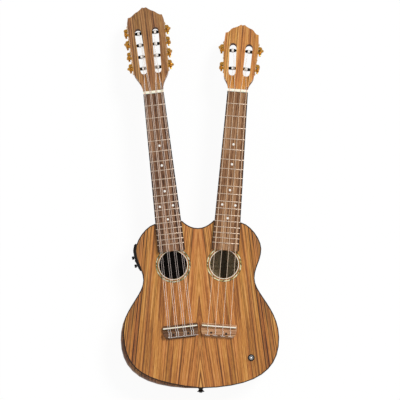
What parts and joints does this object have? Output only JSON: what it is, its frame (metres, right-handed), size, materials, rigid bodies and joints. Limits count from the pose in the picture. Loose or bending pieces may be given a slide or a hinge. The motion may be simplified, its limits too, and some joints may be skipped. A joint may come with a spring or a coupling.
{
  "type": "double-neck ukulele",
  "caption": "Double-neck ukulele: eight-string and four-string necks with slotted heads and geared tuners on one acoustic-electric body.",
  "frame": {"origin": "on the outer face of the back, under the widest place of the lower bout, on the body's centre line", "axes": "+Y along the body to the heads, +X to the four-string side, +Z out of the soundboard"},
  "size_m": [0.29, 0.708, 0.0805],
  "materials": {
    "top_wood": "satin lacquer over striped orange-brown veneer",
    "body_wood": "satin lacquer",
    "neck_wood": "satin lacquer",
    "fingerboard_wood": "oiled",
    "dark_bridge_wood": "oiled",
    "light_bridge_wood": "oiled",
    "arm_rest_wood": "satin lacquer",
    "cream_plastic": "polished bone-like plastic",
    "gold_plate": "bright gold plate",
    "roller_black": "black sleeve",
    "string_nylon": "clear nylon",
    "black_plastic": "fine satin moulding",
    "chrome_plate": "polished"
  },
  "bodies": {
    "body": {"arm_rest": "arm_rest_wood", "back_plate": "body_wood", "bridge_4": "light_bridge_wood", "bridge_8": "dark_bridge_wood", "fingerboard_4": "fingerboard_wood", "fingerboard_8": "fingerboard_wood", "neck_4": "neck_wood", "neck_8": "neck_wood", "nut_4": "cream_plastic", "nut_8": "cream_plastic", "preamp_housing": "black_plastic", "ribs": "body_wood", "saddle_4": "cream_plastic", "saddle_8": "cream_plastic", "selector_switch": "black_plastic", "soundboard": "top_wood", "strap_button": "black_plastic", "string_4_1": "string_nylon", "string_4_2": "string_nylon", "string_4_3": "string_nylon", "string_4_4": "string_nylon", "string_8_1": "string_nylon", "string_8_2": "string_nylon", "string_8_3": "string_nylon", "string_8_4": "string_nylon", "string_8_5": "string_nylon", "string_8_6": "string_nylon", "string_8_7": "string_nylon", "string_8_8": "string_nylon", "tuner_plate_4_left": "gold_plate", "tuner_plate_4_right": "gold_plate", "tuner_plate_8_left": "gold_plate", "tuner_plate_8_right": "gold_plate"},
    "tuner_button_8_1": {"tuner_button_8_1": "gold_plate"},
    "string_roller_8_1": {"string_roller_8_1": "roller_black"},
    "tuner_button_8_2": {"tuner_button_8_2": "gold_plate"},
    "string_roller_8_2": {"string_roller_8_2": "roller_black"},
    "tuner_button_8_3": {"tuner_button_8_3": "gold_plate"},
    "string_roller_8_3": {"string_roller_8_3": "roller_black"},
    "tuner_button_8_4": {"tuner_button_8_4": "gold_plate"},
    "string_roller_8_4": {"string_roller_8_4": "roller_black"},
    "tuner_button_8_5": {"tuner_button_8_5": "gold_plate"},
    "string_roller_8_5": {"string_roller_8_5": "roller_black"},
    "tuner_button_8_6": {"tuner_button_8_6": "gold_plate"},
    "string_roller_8_6": {"string_roller_8_6": "roller_black"},
    "tuner_button_8_7": {"tuner_button_8_7": "gold_plate"},
    "string_roller_8_7": {"string_roller_8_7": "roller_black"},
    "tuner_button_8_8": {"tuner_button_8_8": "gold_plate"},
    "string_roller_8_8": {"string_roller_8_8": "roller_black"},
    "tuner_button_4_1": {"tuner_button_4_1": "gold_plate"},
    "string_roller_4_1": {"string_roller_4_1": "roller_black"},
    "tuner_button_4_2": {"tuner_button_4_2": "gold_plate"},
    "string_roller_4_2": {"string_roller_4_2": "roller_black"},
    "tuner_button_4_3": {"tuner_button_4_3": "gold_plate"},
    "string_roller_4_3": {"string_roller_4_3": "roller_black"},
    "tuner_button_4_4": {"tuner_button_4_4": "gold_plate"},
    "string_roller_4_4": {"string_roller_4_4": "roller_black"},
    "volume_knob": {"volume_knob": "black_plastic"},
    "tone_knob": {"tone_knob": "black_plastic"},
    "selector_lever": {"selector_lever": "chrome_plate"}
  },
  "joints": [
    {"name": "button_turn_8_1", "type": "hinge", "parent": "body", "child": "tuner_button_8_1", "pos_m": [-0.11881, 0.50078, 0.05646], "axis": [-0.0199, 0.207, 0.9781], "continuous": true},
    {"name": "roller_turn_8_1", "type": "hinge", "parent": "body", "child": "string_roller_8_1", "pos_m": [-0.11313, 0.49384, 0.05805], "axis": [-0.9928, -0.1199, 0.0051], "continuous": true},
    {"name": "button_turn_8_2", "type": "hinge", "parent": "body", "child": "tuner_button_8_2", "pos_m": [-0.1214, 0.52206, 0.05191], "axis": [-0.0199, 0.207, 0.9781], "continuous": true},
    {"name": "roller_turn_8_2", "type": "hinge", "parent": "body", "child": "string_roller_8_2", "pos_m": [-0.11572, 0.51511, 0.05349], "axis": [-0.9928, -0.1199, 0.0051], "continuous": true},
    {"name": "button_turn_8_3", "type": "hinge", "parent": "body", "child": "tuner_button_8_3", "pos_m": [-0.12399, 0.54333, 0.04735], "axis": [-0.0199, 0.207, 0.9781], "continuous": true},
    {"name": "roller_turn_8_3", "type": "hinge", "parent": "body", "child": "string_roller_8_3", "pos_m": [-0.11831, 0.53638, 0.04894], "axis": [-0.9928, -0.1199, 0.0051], "continuous": true},
    {"name": "button_turn_8_4", "type": "hinge", "parent": "body", "child": "tuner_button_8_4", "pos_m": [-0.12658, 0.5646, 0.0428], "axis": [-0.0199, 0.207, 0.9781], "continuous": true},
    {"name": "roller_turn_8_4", "type": "hinge", "parent": "body", "child": "string_roller_8_4", "pos_m": [-0.1209, 0.55765, 0.04439], "axis": [-0.9928, -0.1199, 0.0051], "continuous": true},
    {"name": "button_turn_8_5", "type": "hinge", "parent": "body", "child": "tuner_button_8_5", "pos_m": [-0.04994, 0.57198, 0.0428], "axis": [-0.0199, 0.207, 0.9781], "continuous": true},
    {"name": "roller_turn_8_5", "type": "hinge", "parent": "body", "child": "string_roller_8_5", "pos_m": [-0.05419, 0.56407, 0.04439], "axis": [0.9974, 0.0717, 0.0051], "continuous": true},
    {"name": "button_turn_8_6", "type": "hinge", "parent": "body", "child": "tuner_button_8_6", "pos_m": [-0.04842, 0.5506, 0.04735], "axis": [-0.0199, 0.207, 0.9781], "continuous": true},
    {"name": "roller_turn_8_6", "type": "hinge", "parent": "body", "child": "string_roller_8_6", "pos_m": [-0.05268, 0.5427, 0.04894], "axis": [0.9974, 0.0717, 0.0051], "continuous": true},
    {"name": "button_turn_8_7", "type": "hinge", "parent": "body", "child": "tuner_button_8_7", "pos_m": [-0.04691, 0.52923, 0.05191], "axis": [-0.0199, 0.207, 0.9781], "continuous": true},
    {"name": "roller_turn_8_7", "type": "hinge", "parent": "body", "child": "string_roller_8_7", "pos_m": [-0.05116, 0.52132, 0.05349], "axis": [0.9974, 0.0717, 0.0051], "continuous": true},
    {"name": "button_turn_8_8", "type": "hinge", "parent": "body", "child": "tuner_button_8_8", "pos_m": [-0.0454, 0.50785, 0.05646], "axis": [-0.0199, 0.207, 0.9781], "continuous": true},
    {"name": "roller_turn_8_8", "type": "hinge", "parent": "body", "child": "string_roller_8_8", "pos_m": [-0.04965, 0.49995, 0.05805], "axis": [0.9974, 0.0717, 0.0051], "continuous": true},
    {"name": "button_turn_4_1", "type": "hinge", "parent": "body", "child": "tuner_button_4_1", "pos_m": [0.04808, 0.50218, 0.05761], "axis": [0.0199, 0.207, 0.9781], "continuous": true},
    {"name": "roller_turn_4_1", "type": "hinge", "parent": "body", "child": "string_roller_4_1", "pos_m": [0.05266, 0.49445, 0.05915], "axis": [-0.9994, 0.0313, 0.0137], "continuous": true},
    {"name": "button_turn_4_2", "type": "hinge", "parent": "body", "child": "tuner_button_4_2", "pos_m": [0.049, 0.53461, 0.05072], "axis": [0.0199, 0.207, 0.9781], "continuous": true},
    {"name": "roller_turn_4_2", "type": "hinge", "parent": "body", "child": "string_roller_4_2", "pos_m": [0.05358, 0.52689, 0.05227], "axis": [-0.9994, 0.0313, 0.0137], "continuous": true},
    {"name": "button_turn_4_3", "type": "hinge", "parent": "body", "child": "tuner_button_4_3", "pos_m": [0.12038, 0.52774, 0.05072], "axis": [0.0199, 0.207, 0.9781], "continuous": true},
    {"name": "roller_turn_4_3", "type": "hinge", "parent": "body", "child": "string_roller_4_3", "pos_m": [0.11441, 0.52103, 0.05227], "axis": [0.987, -0.16, 0.0137], "continuous": true},
    {"name": "button_turn_4_4", "type": "hinge", "parent": "body", "child": "tuner_button_4_4", "pos_m": [0.11509, 0.49572, 0.05761], "axis": [0.0199, 0.207, 0.9781], "continuous": true},
    {"name": "roller_turn_4_4", "type": "hinge", "parent": "body", "child": "string_roller_4_4", "pos_m": [0.10912, 0.48901, 0.05915], "axis": [0.987, -0.16, 0.0137], "continuous": true},
    {"name": "volume_turn", "type": "hinge", "parent": "body", "child": "volume_knob", "pos_m": [-0.11791, 0.14995, 0.035], "axis": [-0.9816, -0.1908, 0], "range_deg": [-135, 135]},
    {"name": "tone_turn", "type": "hinge", "parent": "body", "child": "tone_knob", "pos_m": [-0.11343, 0.13519, 0.035], "axis": [-0.9816, -0.1908, 0], "range_deg": [-135, 135]},
    {"name": "selector_tip", "type": "hinge", "parent": "body", "child": "selector_lever", "pos_m": [0.0932, -0.0361, 0.067], "axis": [0, 1, 0], "range_deg": [-12, 12]}
  ],
  "couplings": [
    {"joint": "roller_turn_8_1", "follows": "button_turn_8_1", "ratio": 0.083333},
    {"joint": "roller_turn_8_2", "follows": "button_turn_8_2", "ratio": 0.083333},
    {"joint": "roller_turn_8_3", "follows": "button_turn_8_3", "ratio": 0.083333},
    {"joint": "roller_turn_8_4", "follows": "button_turn_8_4", "ratio": 0.083333},
    {"joint": "roller_turn_8_5", "follows": "button_turn_8_5", "ratio": -0.083333},
    {"joint": "roller_turn_8_6", "follows": "button_turn_8_6", "ratio": -0.083333},
    {"joint": "roller_turn_8_7", "follows": "button_turn_8_7", "ratio": -0.083333},
    {"joint": "roller_turn_8_8", "follows": "button_turn_8_8", "ratio": -0.083333},
    {"joint": "roller_turn_4_1", "follows": "button_turn_4_1", "ratio": 0.083333},
    {"joint": "roller_turn_4_2", "follows": "button_turn_4_2", "ratio": 0.083333},
    {"joint": "roller_turn_4_3", "follows": "button_turn_4_3", "ratio": -0.083333},
    {"joint": "roller_turn_4_4", "follows": "button_turn_4_4", "ratio": -0.083333}
  ]
}
